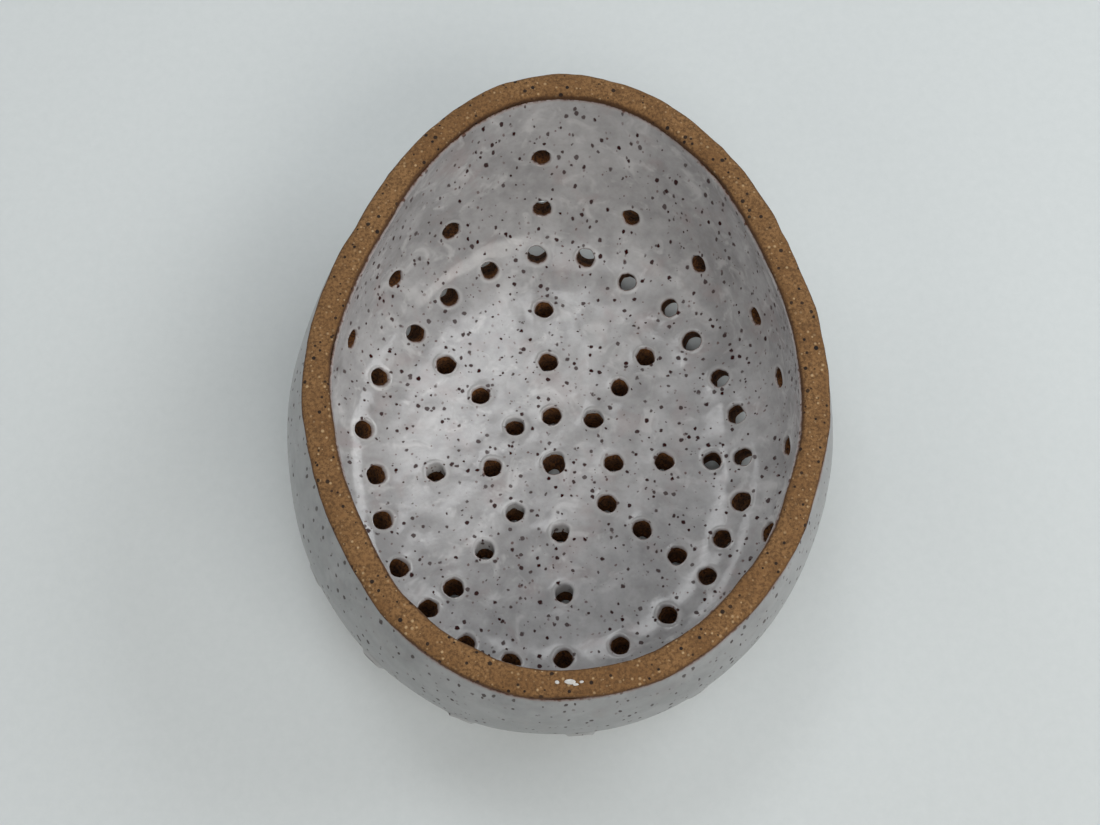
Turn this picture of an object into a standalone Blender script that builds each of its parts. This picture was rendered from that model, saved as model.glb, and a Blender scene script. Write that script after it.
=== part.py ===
"""A pierced pottery flower frog: an egg-shaped stoneware bowl whose floor and wall are full of
stem holes, glazed inside and out, with a bare rounded clay lip. Metres, +Z up, pointed end to +Y."""

import math

import bpy
from mathutils import Vector

# Lip: the egg-shaped centre line of the bare rim, a mean radius with swings round the turn.
LIP_MEAN = 0.05895
LIP_LENGTHEN = 0.00765
LIP_EGG = 0.00085
LIP_TAPER = 0.00095
LIP_SHOULDER = 0.00135
LIP_WOBBLE = 0.00037
LIP_WOBBLE_PHASE = math.radians(48)

# Corner: the rounder outline where the flat floor would meet the wall if it had no bend.
CORNER_MEAN = 0.053
CORNER_LENGTHEN = 0.0035
CORNER_CENTRE = Vector((-0.003, -0.0065, 0))
FLOOR_CENTRE = Vector((-0.0025, -0.008, 0))

# Belly: how far the wall swells out of the straight line from the corner to the lip.
BELLY_MEAN = 0.0035
BELLY_SIDE = 0.0004
BELLY_BLUNT = 0.0016
BELLY_CROSS = 0.0008
BELLY_SQUARE = 0.0004

# Heights and thicknesses.
FLOOR_TOP = 0.0064
WALL_TOP = 0.0468
BEND_SPAN = 0.016
BEND_SHARE = 0.36
WALL_THICK = 0.0063
GLAZE = 0.00045
GAP = 0.0002
RIM_LOW = WALL_TOP + GAP
RIM_TOP = 0.0496
RIM_SHOULDER = 0.0482
RIM_HALF = 0.00315

# Rows of every layer, as places along the wall: 0 floor centre, 1 floor edge, 2 wall, 3 lip.
ROWS = (0, 0.3, 0.6, 0.9, 1.1, 1.3, 1.5, 1.7, 1.85, 2, 2.3, 2.65, 3)
GLAZE_FOOT = 1.5
TURNS = 40

# Stem holes. Floor spokes: direction in degrees from +X, then first hole, step and count along it.
# Rings: direction, then place along the wall.
HOLE = 0.0043
CENTRE_HOLE = 0.0052
HOLE_SIDES = 8
PIN_REACH = 0.003
SPOKES = {
    359: (0.4, 0.34, 3),
    49: (0.37, 0.26, 3),
    93: (0.28, 0.33, 3),
    137: (0.33, 0.29, 3),
    186: (0.41, 0.37, 2),
    234: (0.38, 0.29, 3),
    275: (0.42, 0.35, 2),
    321: (0.43, 0.27, 3),
}
FLOOR_EDGE = {
    359: 1.35, 13: 1.35, 26: 1.3, 41: 1.25, 53: 1.3, 68: 1.3, 81: 1.4, 94: 1.4, 108: 1.35,
    122: 1.3, 137: 1.25, 155: 1.35, 172: 1.35, 186: 1.2, 201: 1.2, 217: 1.2, 232: 1.2, 246: 1.25,
    259: 1.25, 273: 1.2, 289: 1.2, 305: 1.2, 321: 1.25, 333: 1.25, 345: 1.35,
}
WALL_RING = {
    356: 1.95, 13: 2.05, 30: 2.05, 52: 1.85, 72: 1.9, 93: 1.85, 116: 1.9, 134: 1.85, 154: 1.9,
    174: 1.95, 194: 1.95, 214: 2, 234: 2.05, 253: 2, 274: 2.05, 296: 2, 316: 1.95, 336: 1.75,
}
HIGH_HOLE = (94, 2.4)

# Splash: the spot of glaze on the front of the lip.
SPLASH_SIZE = (0.0046, 0.0013, 0.0003)
SPLASH_TURN = math.radians(271)


def lip_radius(turn):
    return (
        LIP_MEAN
        - LIP_LENGTHEN * math.cos(2 * turn)
        - LIP_EGG * math.sin(turn)
        - LIP_TAPER * math.sin(3 * turn)
        + LIP_SHOULDER * math.cos(4 * turn)
        + LIP_WOBBLE * math.sin(5 * turn - LIP_WOBBLE_PHASE)
    )


def belly(turn):
    return (
        BELLY_MEAN
        - BELLY_SIDE * math.cos(turn)
        - BELLY_BLUNT * math.sin(turn)
        + BELLY_CROSS * math.cos(2 * turn)
        - BELLY_SQUARE * math.cos(4 * turn)
    )


def outward(turn):
    return Vector((math.cos(turn), math.sin(turn), 0))


def inside(turn, along):
    """The glazed inner surface: a flat floor, a bend and a bellied wall."""
    out = outward(turn)
    up = Vector((0, 0, FLOOR_TOP))
    centre = FLOOR_CENTRE + up
    corner = CORNER_CENTRE + up
    corner += out * (CORNER_MEAN - CORNER_LENGTHEN * math.cos(2 * turn))
    lip = out * (lip_radius(turn) - WALL_THICK / 2) + Vector((0, 0, WALL_TOP))

    def wall(share):
        return corner + (lip - corner) * share + out * (4 * belly(turn) * share * (1 - share))

    meet = corner + out * (4 * belly(turn) * BEND_SHARE**2)
    floor_edge = meet - (meet - centre).normalized() * BEND_SPAN
    if along <= 1:
        return centre + (floor_edge - centre) * along
    if along <= 2:
        share = along - 1
        bend_end = wall(BEND_SHARE) * share**2
        return floor_edge * (1 - share) ** 2 + meet * (2 * share * (1 - share)) + bend_end
    return wall(BEND_SHARE + (1 - BEND_SHARE) * (along - 2))


def facing(turn, along):
    """Unit vector out through the wall, level at the lip."""
    step = 0.002
    place = min(max(along, 2 * step), 3 - step)
    round_it = inside(turn + step, place) - inside(turn - step, place)
    up_it = inside(turn, place + step) - inside(turn, place - step)
    normal = round_it.cross(up_it).normalized()
    level = max(0, along - 2)
    return (normal * (1 - level) + outward(turn) * level).normalized()


def through(turn, along, depth):
    """The point at this depth from the inner surface."""
    return inside(turn, along) + facing(turn, along) * depth


def clay_inner(along):
    return GLAZE + GAP


def clay_outer(along):
    """The clay takes the whole thickness under the base, and leaves room for glaze above it."""
    bare = min(max((GLAZE_FOOT - along) / 0.2, 0), 1)
    thin = WALL_THICK - GLAZE - GAP
    return thin + (FLOOR_TOP - thin) * bare


def place_in(collection, obj):
    for other in list(obj.users_collection):
        other.objects.unlink(obj)
    collection.objects.link(obj)


def turn_of(co):
    return math.atan2(co.y, co.x)


def bowl(name, near, far):
    """A closed bowl-shaped layer from a sphere: its upper half lines the inside, its lower half
    the outside, and the two meet at the lip."""
    rows = len(ROWS)
    bpy.ops.mesh.primitive_uv_sphere_add(segments=TURNS, ring_count=2 * rows - 1, radius=1)
    obj = bpy.context.object
    obj.name = name
    for vertex in obj.data.vertices:
        polar = math.acos(min(max(vertex.co.z, -1), 1))
        row = round(polar / math.pi * (2 * rows - 1))
        if row < rows:
            along, depth = ROWS[row], near
        else:
            along, depth = ROWS[2 * rows - 1 - row], far
        vertex.co = through(turn_of(vertex.co), along, depth(along))
    return obj


def sleeve(name, low, near, far):
    """A closed ring-shaped layer from a torus, from the place low up to the lip."""
    rows = [row for row in ROWS if row >= low]
    count = 2 * len(rows)
    bpy.ops.mesh.primitive_torus_add(
        major_segments=TURNS, minor_segments=count, major_radius=2, minor_radius=1
    )
    obj = bpy.context.object
    obj.name = name
    for vertex in obj.data.vertices:
        ring = math.hypot(vertex.co.x, vertex.co.y) - 2
        row = round(math.atan2(vertex.co.z, ring) / (2 * math.pi) * count) % count
        if row < len(rows):
            along, depth = rows[row], far
        else:
            along, depth = rows[count - 1 - row], near
        vertex.co = through(turn_of(vertex.co), along, depth)
    return obj


def power(value, exponent):
    return math.copysign(abs(value) ** exponent, value)


def rim():
    """The bare lip: a rounded band that caps the wall."""
    bpy.ops.mesh.primitive_torus_add(
        major_segments=TURNS * 2, minor_segments=12, major_radius=2, minor_radius=1
    )
    obj = bpy.context.object
    obj.name = "rim_band"
    for vertex in obj.data.vertices:
        turn = turn_of(vertex.co)
        across = math.hypot(vertex.co.x, vertex.co.y) - 2
        rise = RIM_TOP - RIM_SHOULDER if vertex.co.z > 0 else RIM_SHOULDER - RIM_LOW
        point = outward(turn) * (lip_radius(turn) + RIM_HALF * power(across, 0.7))
        point.z = RIM_SHOULDER + rise * power(vertex.co.z, 0.7)
        vertex.co = point
    return obj


def splash():
    bpy.ops.mesh.primitive_uv_sphere_add(segments=12, ring_count=6, radius=0.5)
    obj = bpy.context.object
    obj.name = "glaze_splash"
    middle = outward(SPLASH_TURN) * lip_radius(SPLASH_TURN)
    middle.z = RIM_TOP + GAP / 2 + SPLASH_SIZE[2] / 2
    for vertex in obj.data.vertices:
        vertex.co = Vector(a * b for a, b in zip(vertex.co, SPLASH_SIZE)) + middle
    return obj


def holes():
    """Direction in degrees, place along the wall and width of every stem hole."""
    chart = [(0, 0, CENTRE_HOLE), (*HIGH_HOLE, HOLE)]
    for turn, (first, step, count) in SPOKES.items():
        chart += [(turn, first + step * i, HOLE) for i in range(count)]
    for ring in (FLOOR_EDGE, WALL_RING):
        chart += [(turn, along, HOLE) for turn, along in ring.items()]
    return chart


def pins():
    """One cutter made of a pin for every hole, each square to the wall."""
    length = WALL_THICK + 2 * PIN_REACH
    made = []
    for degrees, along, across in holes():
        turn = math.radians(degrees)
        out = facing(turn, along)
        bpy.ops.mesh.primitive_cylinder_add(
            vertices=HOLE_SIDES, radius=across / 2, depth=length
        )
        pin = bpy.context.object
        spin = out.to_track_quat("Z", "Y").to_matrix()
        middle = through(turn, along, WALL_THICK / 2)
        for vertex in pin.data.vertices:
            vertex.co = spin @ vertex.co + middle
        made.append(pin)
    for pin in made:
        pin.select_set(True)
    bpy.context.view_layer.objects.active = made[0]
    bpy.ops.object.join()
    made[0].name = "hole_pins"
    return made[0]


def paint(obj, colour, roughness):
    material = bpy.data.materials.new(obj.name)
    material.use_nodes = True
    shader = material.node_tree.nodes["Principled BSDF"]
    shader.inputs["Base Color"].default_value = (*colour, 1)
    shader.inputs["Roughness"].default_value = roughness
    material.diffuse_color = (*colour, 1)
    obj.data.materials.clear()
    obj.data.materials.append(material)


def centre(nodes, others):
    """Puts the middle of the whole object's box over the origin, standing on z = 0."""
    corners = [vertex.co for obj in nodes for vertex in obj.data.vertices]
    low = Vector(min(co[i] for co in corners) for i in range(3))
    high = Vector(max(co[i] for co in corners) for i in range(3))
    move = Vector((-(low.x + high.x) / 2, -(low.y + high.y) / 2, -low.z))
    for obj in nodes + others:
        for vertex in obj.data.vertices:
            vertex.co += move


def pierce(obj, cutter):
    """Splits the facets the same way on every layer, so that layers stay apart, then cuts."""
    split = obj.modifiers.new("facets", "TRIANGULATE")
    split.quad_method = "SHORTEST_DIAGONAL"
    cut = obj.modifiers.new("stem_holes", "BOOLEAN")
    cut.operation = "DIFFERENCE"
    cut.solver = "EXACT"
    cut.object = cutter


def main():
    for obj in list(bpy.data.objects):
        bpy.data.objects.remove(obj)
    scene = bpy.context.scene
    scene.unit_settings.length_unit = "METERS"
    parts = bpy.data.collections.new("flower_frog")
    cutters = bpy.data.collections.new("cutters")
    scene.collection.children.link(parts)
    scene.collection.children.link(cutters)

    clay = bowl("clay_wall", clay_inner, clay_outer)
    inner = bowl("inner_glaze", lambda along: 0, lambda along: GLAZE)
    outer = sleeve("outer_glaze", GLAZE_FOOT, WALL_THICK - GLAZE, WALL_THICK)
    lip = rim()
    spot = splash()
    cutter = pins()

    nodes = [clay, inner, outer, lip, spot]
    centre(nodes, [cutter])
    for obj in (clay, inner, outer):
        pierce(obj, cutter)
    for obj in nodes:
        place_in(parts, obj)
        for face in obj.data.polygons:
            face.use_smooth = True
    place_in(cutters, cutter)
    cutter.hide_render = True
    cutter.display_type = "WIRE"

    paint(clay, (0.17, 0.085, 0.042), 0.9)
    paint(inner, (0.50, 0.48, 0.49), 0.3)
    paint(outer, (0.44, 0.45, 0.47), 0.3)
    paint(lip, (0.32, 0.18, 0.08), 0.85)
    paint(spot, (0.85, 0.85, 0.83), 0.2)


main()
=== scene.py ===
import bpy
import math
import numpy as np
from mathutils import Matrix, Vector, noise
from mathutils.geometry import delaunay_2d_cdt


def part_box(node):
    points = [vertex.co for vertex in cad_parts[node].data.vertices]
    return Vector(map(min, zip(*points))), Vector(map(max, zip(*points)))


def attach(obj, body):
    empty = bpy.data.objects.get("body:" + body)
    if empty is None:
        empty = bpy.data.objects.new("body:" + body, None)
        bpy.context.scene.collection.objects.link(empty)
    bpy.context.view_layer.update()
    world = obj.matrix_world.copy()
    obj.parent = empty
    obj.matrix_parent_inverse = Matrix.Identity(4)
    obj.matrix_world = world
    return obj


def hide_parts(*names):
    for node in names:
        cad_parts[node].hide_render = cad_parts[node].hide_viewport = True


# A hand-built stoneware flower frog: pierced clay wall, glaze coats and a bare lip, over the CAD solids.
# Lengths in the settings are millimetres and angles are degrees.

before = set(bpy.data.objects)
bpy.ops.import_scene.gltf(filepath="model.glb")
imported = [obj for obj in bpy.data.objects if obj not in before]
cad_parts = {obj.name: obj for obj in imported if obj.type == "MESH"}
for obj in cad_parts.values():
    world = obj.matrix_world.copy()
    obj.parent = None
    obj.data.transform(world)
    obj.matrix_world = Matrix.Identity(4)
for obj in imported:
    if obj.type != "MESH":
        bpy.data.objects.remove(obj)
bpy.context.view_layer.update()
bpy.ops.object.select_all(action="DESELECT")
print("frame loaded")

mm = 0.001
noise.seed_set(3)  # otherwise noise_vector differs each time Blender starts

potShape = {
    "lip": {"mean": 58.95, "lengthen": 7.65, "egg": 0.85, "taper": 0.95, "shoulder": 1.35,
            "wobble": 0.37, "wobbleTurn": 48},
    "corner": {"mean": 53.0, "lengthen": 3.5, "centre": (-3.0, -6.5)},  # outline where floor and wall would meet
    "belly": {"mean": 3.5, "side": 0.4, "blunt": 1.6, "cross": 0.8, "square": 0.4},  # swell of the wall
    "floorCentre": (-2.5, -8.0),
    "floorTop": 6.4,
    "wallTop": 46.8,
    "bendSpan": 16.0,  # how far in from the wall the floor starts to curve up
    "bendShare": 0.36,  # share of the wall's height that the curve takes
    "wall": 6.3,  # thickness of clay and glaze together
    "wave": 0.5,  # how far hands pushed the clay about
    "waveLength": 21.0,
}


def lipRadius(turn):
    lip = potShape["lip"]
    return (lip["mean"] - lip["lengthen"] * np.cos(2 * turn) - lip["egg"] * np.sin(turn)
            - lip["taper"] * np.sin(3 * turn) + lip["shoulder"] * np.cos(4 * turn)
            + lip["wobble"] * np.sin(5 * turn - math.radians(lip["wobbleTurn"])))


def bellySwell(turn):
    belly = potShape["belly"]
    return (belly["mean"] - belly["side"] * np.cos(turn) - belly["blunt"] * np.sin(turn)
            + belly["cross"] * np.cos(2 * turn) - belly["square"] * np.cos(4 * turn))


def insideSurface(flat):
    # the pot opened out flat: distance from the middle is 0 floor centre, 1 floor edge, 2 foot of wall, 3 lip
    turn = np.arctan2(flat[:, 1], flat[:, 0])
    reach = np.hypot(flat[:, 0], flat[:, 1])[:, None]
    out = np.stack([np.cos(turn), np.sin(turn), np.zeros_like(turn)], 1)
    centre = np.array([*potShape["floorCentre"], potShape["floorTop"]])
    cornerRadius = potShape["corner"]["mean"] - potShape["corner"]["lengthen"] * np.cos(2 * turn)
    corner = np.array([*potShape["corner"]["centre"], potShape["floorTop"]]) + out * cornerRadius[:, None]
    lip = out * (lipRadius(turn) - potShape["wall"] / 2)[:, None]
    lip[:, 2] = potShape["wallTop"]
    swell = (4 * bellySwell(turn))[:, None]
    share = potShape["bendShare"]

    def wallAt(part):
        return corner + (lip - corner) * part + out * swell * part * (1 - part)

    meet = corner + out * swell * share ** 2
    inward = (centre - meet) / np.linalg.norm(centre - meet, axis=1, keepdims=True)
    floorEdge = meet + inward * potShape["bendSpan"]
    bend = np.clip(reach - 1, 0, 1)
    onFloor = centre + (floorEdge - centre) * np.clip(reach, 0, 1)
    onBend = floorEdge * (1 - bend) ** 2 + meet * 2 * bend * (1 - bend) + wallAt(share) * bend ** 2
    onWall = wallAt(share + (1 - share) * np.clip(reach - 2, 0, 1))
    above = lip + np.array([0, 0, 10.0]) * np.clip(reach - 3, 0, 1)
    return np.where(reach <= 1, onFloor, np.where(reach <= 2, onBend, np.where(reach <= 3, onWall, above)))


def outThrough(flat, step=0.004):
    # direction out through the wall, turning level towards the lip
    reach = np.maximum(np.hypot(flat[:, 0], flat[:, 1]), 1e-6)
    low = flat * np.minimum(1, (3 - 1.5 * step) / reach)[:, None]
    across = insideSurface(low + [step, 0]) - insideSurface(low - [step, 0])
    upward = insideSurface(low + [0, step]) - insideSurface(low - [0, step])
    through = np.cross(upward, across)
    through /= np.linalg.norm(through, axis=1, keepdims=True)
    level = np.clip(reach - 2, 0, 1)[:, None]
    sideways = np.stack([flat[:, 0] / reach, flat[:, 1] / reach, np.zeros(len(flat))], 1)
    through = through * (1 - level) + sideways * level
    return through / np.linalg.norm(through, axis=1, keepdims=True)


def onSheet(flat, depth):
    deep = depth(np.hypot(flat[:, 0], flat[:, 1]))[:, None] if callable(depth) else depth
    return insideSurface(flat) + outThrough(flat) * deep


def noiseAt(points, length, seed=0):
    # smooth noise, about -1 to 1, with a swell every length
    shift = Vector((seed * 7.3, seed * 3.1, seed * 5.7))
    return np.array([noise.noise(Vector(p) / length + shift) for p in points])


def smooth(low, high, value):
    part = np.clip((value - low) / (high - low), 0, 1)
    return part * part * (3 - 2 * part)


def pushedByHand(points):
    # the same slow unevenness moves every coat and the clay under it; the foot stays flat
    shift = np.array([noise.noise_vector(Vector(p) / potShape["waveLength"]) for p in points])
    shift[:, 2] *= smooth(2, 14, points[:, 2]) * (1 - 0.75 * smooth(44, 47, points[:, 2]))
    return points + shift * potShape["wave"]


def rimOutline():
    turn = np.linspace(0, 2 * math.pi, 720)
    return np.stack([np.cos(turn), np.sin(turn)], 1) * (lipRadius(turn) + potShape["wall"] / 2)[:, None]


rimLow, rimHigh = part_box("rim_band")
outline = rimOutline()
rimMiddle = [(rimLow[i] + rimHigh[i]) / 2 / mm for i in (0, 1)]
potPlace = np.array([rimMiddle[i] - (outline[:, i].min() + outline[:, i].max()) / 2 for i in (0, 1)] + [0.0])
print("pot sits", potPlace.round(2), "mm from the middle of its own formula")


stemHoles = {
    "width": 4.3,
    "centreWidth": 5.2,
    # turn: (first, step, count) along each spoke of the floor
    "spokes": {359: (0.4, 0.34, 3), 49: (0.37, 0.26, 3), 93: (0.28, 0.33, 3), 137: (0.33, 0.29, 3),
               186: (0.41, 0.37, 2), 234: (0.38, 0.29, 3), 275: (0.42, 0.35, 2), 321: (0.43, 0.27, 3)},
    "floorEdge": {359: 1.35, 13: 1.35, 26: 1.3, 41: 1.25, 53: 1.3, 68: 1.3, 81: 1.4, 94: 1.4, 108: 1.35,
                  122: 1.3, 137: 1.25, 155: 1.35, 172: 1.35, 186: 1.2, 201: 1.2, 217: 1.2, 232: 1.2,
                  246: 1.25, 259: 1.25, 273: 1.2, 289: 1.2, 305: 1.2, 321: 1.25, 333: 1.25, 345: 1.35},
    "wallRing": {356: 1.95, 13: 2.05, 30: 2.05, 52: 1.85, 72: 1.9, 93: 1.85, 116: 1.9, 134: 1.85, 154: 1.9,
                 174: 1.95, 194: 1.95, 214: 2.0, 234: 2.05, 253: 2.0, 274: 2.05, 296: 2.0, 316: 1.95, 336: 1.75},
    "high": (94, 2.4),
    "points": 30,  # round each hole
    "uneven": 0.17,
    "floorReach": 1.05,  # holes inside this are in the flat floor
    "floorLean": 15,  # how many degrees they slope towards the blunt end
    "run": 0.5,  # how far glaze ran into a hole
    "centreRun": 1.6,
    # (turn of the spoke, which hole along it): glaze ran further into these
    "deepRuns": {(186, 1): 6.0, (234, 0): 3.2, (234, 1): 5.5, (275, 0): 4.6, (275, 1): 5.8,
                 (137, 0): 1.7, (49, 0): 1.7},
    # (from turn, to turn, degrees): these floor-edge holes were pushed outwards rather than square to the wall
    "lean": ((77, 98, 17), (100, 225, 31), (225, 350, 18)),
}

holeTurns = np.linspace(0, 2 * math.pi, stemHoles["points"], endpoint=False)


def makeHoleList():
    holes = []

    def add(turn, reach, width=stemHoles["width"], run=stemHoles["run"], lean=0):
        number = len(holes)
        flat = np.array([[math.cos(math.radians(turn)), math.sin(math.radians(turn))]]) * reach
        square = outThrough(flat)[0]
        ahead = np.array([0, 1.0, 0]) - square * square[1]
        ahead /= np.linalg.norm(ahead)
        side = np.cross(square, ahead)
        out = square
        if lean:
            level = np.array([*flat[0], 0]) / reach
            level -= square * (level @ square)
            out = square * math.cos(math.radians(lean)) + level / np.linalg.norm(level) * math.sin(math.radians(lean))
        if reach < stemHoles["floorReach"]:
            floorLean = math.radians(stemHoles["floorLean"])
            out = square * math.cos(floorLean) - ahead * math.sin(floorLean)
        ring = np.stack([np.cos(holeTurns), np.sin(holeTurns), np.full_like(holeTurns, number * 3.7)], 1)
        size = 1 + 0.1 * noise.noise(Vector((number * 1.7, 0.3, 5)))
        nicks = np.clip(noiseAt(ring, 0.35, 21) - 0.25, 0, 1)  # torn corners
        radii = width / 2 * size * (1 + stemHoles["uneven"] * (noiseAt(ring, 0.85) + 1.1 * nicks))
        holes.append({"number": number, "flat": flat[0], "reach": reach, "middle": insideSurface(flat)[0],
                      "out": out,
                      "ahead": ahead, "side": side, "radius": width / 2, "radii": radii, "run": run})

    add(0, 0, stemHoles["centreWidth"], stemHoles["centreRun"])
    for turn, (first, step, count) in stemHoles["spokes"].items():
        for i in range(count):
            add(turn, first + step * i, run=stemHoles["deepRuns"].get((turn, i), stemHoles["run"]))
    for turn, reach in stemHoles["floorEdge"].items():
        add(turn, reach, lean=sum(lean for first, last, lean in stemHoles["lean"] if first < turn < last))
    for turn, reach in stemHoles["wallRing"].items():
        add(turn, reach)
    add(*stemHoles["high"])
    return holes


def aroundHole(hole, radii):
    return radii[:, None] * (np.cos(holeTurns)[:, None] * hole["side"] + np.sin(holeTurns)[:, None] * hole["ahead"])


def slopeAt(flat, depth, step=0.01):
    steps = ([step, 0], [0, step])
    return np.stack([(onSheet(flat + s, depth) - onSheet(flat - s, depth))[0] / (2 * step) for s in steps], 1)


def whereHoleCrosses(hole, depth):
    # the place where the hole's own line goes through a sheet
    flat = hole["flat"][None].copy()
    for _ in range(5):
        away = hole["middle"] - onSheet(flat, depth)[0]
        flat += np.linalg.pinv(slopeAt(flat, depth)) @ (away - hole["out"] * (away @ hole["out"]))
    return flat


holeList = makeHoleList()
print("stem holes marked:", len(holeList))


def sheetRows(grain, first=0.0):
    # rows of dots up the sheet, about one grain apart: (reach, dots in the row)
    floorLength, wallLength = 44, 26  # millimetres that one step of reach covers
    rows, reach = [], first or grain / floorLength
    while reach < 3 - 0.4 * grain / wallLength:
        radius = floorLength * reach if reach < 1 else 40 + 6 * reach
        rows.append((reach, int(2 * math.pi * radius / grain)))
        reach += grain / (floorLength if reach < 1 else wallLength)
    return rows


def lipRows(radius, grain):
    # close rows over the top of the wall, where the coats end under the bare lip
    return [(reach, int(2 * math.pi * radius / grain)) for reach in (3.0, 3.022, 3.042, 3.056, 3.066, 3.072)]


def pierceSheet(depth, grain, rows, offsets, tubeRings, holes, foot=None):
    # Bpy has no tool that drapes a sheet with 67 clean holes, so the dots between the holes are joined by a flat
    # triangulation, and rings of quads go in to each hole's edge and down its side.
    dots = []
    for i, (reach, count) in enumerate(rows):
        turn = (np.arange(count) + 0.5 * (i % 2)) / count * 2 * math.pi
        if foot:  # the rows start at a wandering line
            low = foot(turn)
            reach = low + (3 - low) * np.clip((reach - rows[0][0]) / (3 - rows[0][0]), 0, 1) + max(0, reach - 3)
        dots.append(np.stack([np.cos(turn), np.sin(turn)], 1) * np.reshape(reach, (-1, 1)))
    field = np.concatenate(dots)
    spots = onSheet(field, depth)
    clear = np.ones(len(field), bool)
    widest = offsets[0]
    centres, crossings = {}, {}
    for hole in holes:
        crossings[hole["number"]] = whereHoleCrosses(hole, depth)
        centres[hole["number"]] = onSheet(crossings[hole["number"]], depth)[0]
        clear &= np.linalg.norm(spots - centres[hole["number"]], axis=1) > hole["radius"] + widest + 0.6 * grain
    lowest = np.arange(len(field)) < len(dots[0])
    clear |= lowest & bool(foot)
    footDots = set(np.flatnonzero(lowest[clear]).tolist()) if foot else set()
    lastRow = np.flatnonzero((np.arange(len(field)) >= len(field) - len(dots[-1]))[clear])
    field = field[clear]

    # every dot knows its hole, its distance from the hole's edge, its place round it and its ring down the side
    flats, owner, gap = [field], [np.full(len(field), -1)], [np.full(len(field), 9.0)]
    spin, down = [np.zeros(len(field), int)], [np.zeros(len(field))]
    rings = {}
    at = len(field)
    count = stemHoles["points"]
    for hole in holes:
        here = crossings[hole["number"]]
        back = np.linalg.pinv(slopeAt(here, depth))
        for k, offset in enumerate(list(offsets) + [0.0] * tubeRings):
            ease = min(1, offset / widest)
            radii = hole["radii"] * (1 - ease) + hole["radius"] * ease + offset
            flats.append(here[0] + aroundHole(hole, radii) @ back.T)
            owner.append(np.full(count, hole["number"]))
            gap.append(np.full(count, offset))
            spin.append(np.arange(count))
            down.append(np.full(count, max(0, k - len(offsets) + 1)))
            rings.setdefault(hole["number"], []).append(np.arange(at, at + count))
            at += count
    flats, owner = np.concatenate(flats), np.concatenate(owner)
    firsts = np.concatenate([np.arange(len(field))] + [rings[hole["number"]][0] for hole in holes])
    place = {int(v): i for i, v in enumerate(firsts)}
    edges = []
    for hole in holes:
        ring = [place[int(v)] for v in rings[hole["number"]][0]]
        edges += [(ring[i], ring[(i + 1) % count]) for i in range(count)]
    made = delaunay_2d_cdt([Vector(p) for p in flats[firsts]], edges, [], 0, 1e-7, True)
    ringOf = owner[firsts]
    faces = []
    for face in made[2]:
        corner = [made[3][v][0] for v in face]
        holesHere = {int(ringOf[c]) for c in corner}
        inHole = len(holesHere) == 1 and -1 not in holesHere
        belowFoot = all(c in footDots for c in corner)
        if not inHole and not belowFoot:
            faces.append(tuple(int(firsts[c]) for c in corner))
    for hole in holes:
        for outer, inner in zip(rings[hole["number"]], rings[hole["number"]][1:]):
            for i in range(count):
                j = (i + 1) % count
                faces.append((int(outer[i]), int(outer[j]), int(inner[j]), int(inner[i])))
    return {"flat": flats, "spot": onSheet(flats, depth), "hole": owner, "gap": np.concatenate(gap),
            "spin": np.concatenate(spin), "down": np.concatenate(down), "faces": faces, "lastRow": lastRow,
            "centres": centres}


def makeObject(name, points, faces):
    mesh = bpy.data.meshes.new(name)
    mesh.from_pydata([tuple(p) for p in (points + potPlace) * mm], [], faces)
    mesh.update()
    piece = bpy.data.objects.new(name, mesh)
    bpy.context.collection.objects.link(piece)
    mesh.polygons.foreach_set("use_smooth", [True] * len(mesh.polygons))
    return piece


def setAttribute(piece, name, values):
    attribute = piece.data.attributes.new(name, "FLOAT", "POINT")
    attribute.data.foreach_set("value", np.asarray(values, np.float32))


def thicken(piece, thickness, thinness):
    # closes a coat: its thickness goes into the clay, and thins to nothing at its ends
    group = piece.vertex_groups.new(name="thinness")
    levels = np.round(np.clip(thinness, 0.05, 1), 2)
    for level in np.unique(levels):
        group.add(np.flatnonzero(levels == level).tolist(), float(level), "REPLACE")
    bpy.ops.object.select_all(action="DESELECT")
    piece.select_set(True)
    bpy.context.view_layer.objects.active = piece
    solid = piece.modifiers.new("coat", "SOLIDIFY")
    solid.thickness = thickness * mm
    solid.offset = -1
    solid.vertex_group = "thinness"
    bpy.ops.object.modifier_apply(modifier="coat")
    piece.vertex_groups.clear()
    piece.select_set(False)


def distanceToHoles(sheet, holes):
    gap = sheet["gap"].copy()
    field = np.flatnonzero(sheet["hole"] < 0)
    spots = sheet["spot"][field]
    near = np.full(len(field), 9.0)
    for hole in holes:
        near = np.minimum(near, np.linalg.norm(spots - sheet["centres"][hole["number"]], axis=1) - hole["radius"])
    gap[field] = near
    return gap


innerCoat = {
    "pools": 0.17,  # height of the slow pools, and the distance between them
    "poolLength": 7.5,
    "dimples": 0.08,
    "dimpleLength": 3.8,
    "curdles": 0.13,  # broken surface round the edge of the floor
    "curdleLength": 2.9,
    "curdleReach": 1.25,
    "curdleWidth": 0.3,
    "seam": 0.17,  # the ridge where floor meets wall
    "seamReach": 1.1,
    "seamWidth": 0.05,
    "grain": 1.6,
    "offsets": (1.2, 0.9, 0.65, 0.45, 0.3, 0.18, 0.08, 0.0),  # rings round a mouth, this far from its edge
    "rounding": 0.3,  # at the mouth of a hole
    "collar": 0.26,  # where glaze drew back from a mouth and stood up
    "tubeRings": 4,
    "thickness": 0.3,
    "topWander": 0.22,
    "tuck": 0.42,  # how far the top edge goes in under the bare lip
}


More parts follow.
